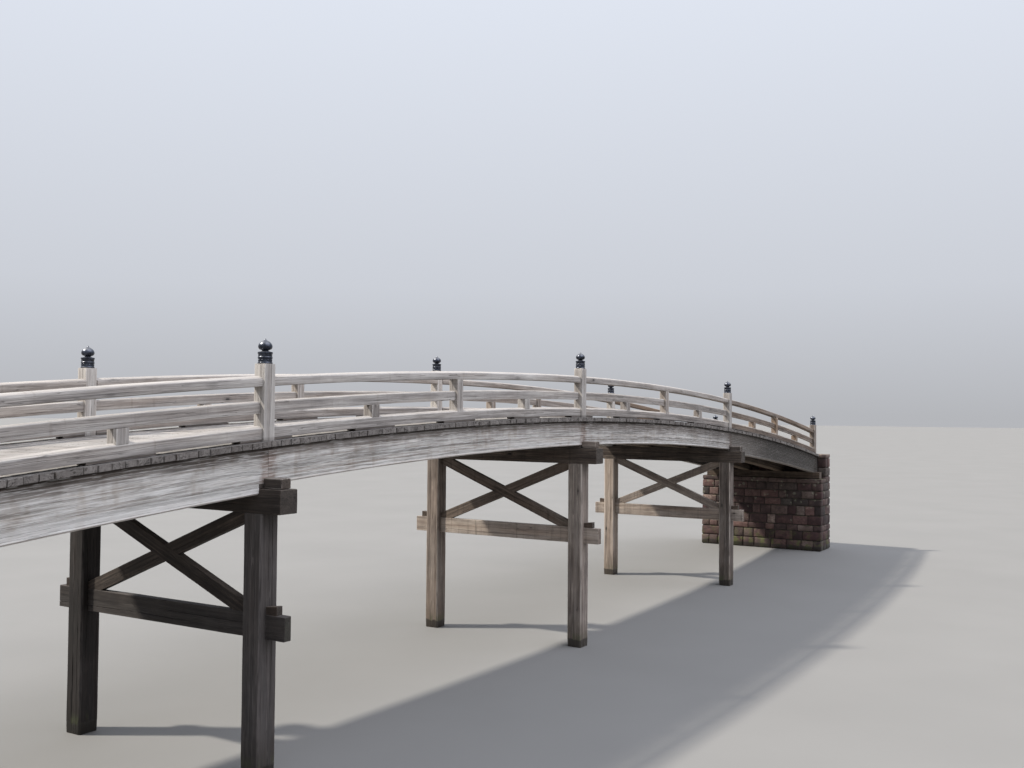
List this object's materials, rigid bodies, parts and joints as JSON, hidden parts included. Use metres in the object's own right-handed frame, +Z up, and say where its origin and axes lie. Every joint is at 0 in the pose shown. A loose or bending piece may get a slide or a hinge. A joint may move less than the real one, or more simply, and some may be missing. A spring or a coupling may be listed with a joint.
{
  "type": "timber moon bridge",
  "caption": "Long low arched timber footbridge on braced bents and stone abutments, with curbed post-and-rail parapets and onion finials.",
  "frame": {"origin": "on the water line under the middle bent, midway between its legs", "axes": "+X along the bridge to the right end, +Y across it to the far side, +Z up"},
  "size_m": [31.9, 3.84, 5.076],
  "materials": {
    "stone_masonry": "rough weathered stone blocks, dark red-brown",
    "hidden_timber": "dark weathered timber",
    "bent_timber": "weathered brown-grey timber",
    "girder_timber": "weathered grey timber",
    "deck_timber": "worn grey planks",
    "parapet_timber": "weathered light grey timber",
    "finial_metal": "black lacquered metal, satin"
  },
  "bodies": {
    "root": {"left_abutment": "stone_masonry", "right_abutment": "stone_masonry", "sill_beams": "hidden_timber", "inner_girders": "hidden_timber", "left_near_leg": "bent_timber", "left_far_leg": "bent_timber", "left_cap_beam": "bent_timber", "left_tie_beam": "bent_timber", "left_cross_brace": "bent_timber", "middle_near_leg": "bent_timber", "middle_far_leg": "bent_timber", "middle_cap_beam": "bent_timber", "middle_tie_beam": "bent_timber", "middle_cross_brace": "bent_timber", "right_near_leg": "bent_timber", "right_far_leg": "bent_timber", "right_cap_beam": "bent_timber", "right_tie_beam": "bent_timber", "right_cross_brace": "bent_timber", "tie_wedges": "bent_timber", "bearing_planks": "bent_timber", "near_girder_left_end": "girder_timber", "near_girder_left_middle": "girder_timber", "near_girder_right_middle": "girder_timber", "near_girder_right_end": "girder_timber", "far_girder_left_end": "girder_timber", "far_girder_left_middle": "girder_timber", "far_girder_right_middle": "girder_timber", "far_girder_right_end": "girder_timber", "girder_chocks": "girder_timber", "deck_left_end": "deck_timber", "deck_left_middle": "deck_timber", "deck_right_middle": "deck_timber", "deck_right_end": "deck_timber", "near_curb": "parapet_timber", "near_middle_rail": "parapet_timber", "near_top_rail": "parapet_timber", "near_main_posts": "parapet_timber", "near_struts": "parapet_timber", "near_finials": "finial_metal", "far_curb": "parapet_timber", "far_middle_rail": "parapet_timber", "far_top_rail": "parapet_timber", "far_main_posts": "parapet_timber", "far_struts": "parapet_timber", "far_finials": "finial_metal"}
  },
  "joints": []
}
